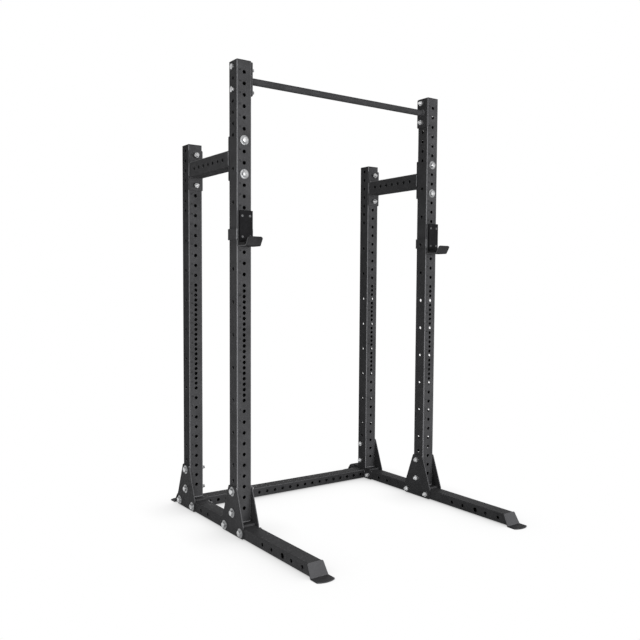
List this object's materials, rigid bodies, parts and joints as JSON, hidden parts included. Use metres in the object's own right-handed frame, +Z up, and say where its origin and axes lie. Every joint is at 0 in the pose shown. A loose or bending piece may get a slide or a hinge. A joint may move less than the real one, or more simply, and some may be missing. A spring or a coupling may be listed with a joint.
{
  "type": "power cage",
  "caption": "Free-standing half power rack: drilled square uprights on floor tubes, side braces, rear floor cross member, pull-up bar and lift-off bar cups.",
  "frame": {"origin": "on the floor, midway between the two sides, under the centre line of the front uprights", "axes": "+Z up, +X to the right as seen from the front, -Y towards the front, where the bar cups are"},
  "size_m": [1.2796, 1.4224, 2.1932],
  "materials": {
    "frame_coat": "textured matt black powder coat",
    "zinc_hardware": "bright zinc plate",
    "cap_plastic": "matt black moulded plastic",
    "cup_lining": "matt black ultra-high-molecular-weight polyethylene",
    "cup_pin_zinc": "zinc plate",
    "screw_steel": "dark oxide"
  },
  "bodies": {
    "rack": {"left_front_upright": "frame_coat", "left_front_foot_plate": "frame_coat", "left_front_end_cap": "cap_plastic", "left_front_outer_gusset": "frame_coat", "left_front_floor_tab": "frame_coat", "left_rear_upright": "frame_coat", "left_rear_foot_plate": "frame_coat", "left_rear_end_cap": "cap_plastic", "left_rear_outer_gusset": "frame_coat", "left_rear_floor_tab": "frame_coat", "left_front_inner_gusset": "frame_coat", "left_base_tube": "frame_coat", "left_brace_tube": "frame_coat", "left_brace_front_flange": "frame_coat", "left_brace_rear_flange": "frame_coat", "left_bar_flange": "frame_coat", "left_cross_flange": "frame_coat", "right_front_upright": "frame_coat", "right_front_foot_plate": "frame_coat", "right_front_end_cap": "cap_plastic", "right_front_outer_gusset": "frame_coat", "right_front_floor_tab": "frame_coat", "right_rear_upright": "frame_coat", "right_rear_foot_plate": "frame_coat", "right_rear_end_cap": "cap_plastic", "right_rear_outer_gusset": "frame_coat", "right_rear_floor_tab": "frame_coat", "right_front_inner_gusset": "frame_coat", "right_base_tube": "frame_coat", "right_brace_tube": "frame_coat", "right_brace_front_flange": "frame_coat", "right_brace_rear_flange": "frame_coat", "right_bar_flange": "frame_coat", "right_cross_flange": "frame_coat", "pull_up_bar": "frame_coat", "rear_cross_member": "frame_coat", "pull_up_bar_bolts": "zinc_hardware", "pull_up_bar_nuts": "zinc_hardware", "brace_bolts": "zinc_hardware", "brace_washers": "zinc_hardware", "brace_nuts": "zinc_hardware", "front_gusset_bolts": "zinc_hardware", "front_gusset_washers": "zinc_hardware", "front_gusset_nuts": "zinc_hardware", "rear_gusset_bolts": "zinc_hardware", "rear_gusset_washers": "zinc_hardware", "rear_gusset_nuts": "zinc_hardware"},
    "left_bar_cup": {"left_cup_plate": "frame_coat", "left_cup_back_liner": "cup_lining", "left_cup_shelf_pad": "cup_lining", "left_cup_bracket": "frame_coat", "left_cup_pin": "cup_pin_zinc", "left_cup_screws": "screw_steel"},
    "right_bar_cup": {"right_cup_plate": "frame_coat", "right_cup_back_liner": "cup_lining", "right_cup_shelf_pad": "cup_lining", "right_cup_bracket": "frame_coat", "right_cup_pin": "cup_pin_zinc", "right_cup_screws": "screw_steel"}
  },
  "joints": [
    {"name": "left_bar_cup_pull_off", "type": "slide", "parent": "rack", "child": "left_bar_cup", "axis": [0, -1, 0], "range_m": [0, 0.1]},
    {"name": "right_bar_cup_pull_off", "type": "slide", "parent": "rack", "child": "right_bar_cup", "axis": [0, -1, 0], "range_m": [0, 0.1]}
  ]
}
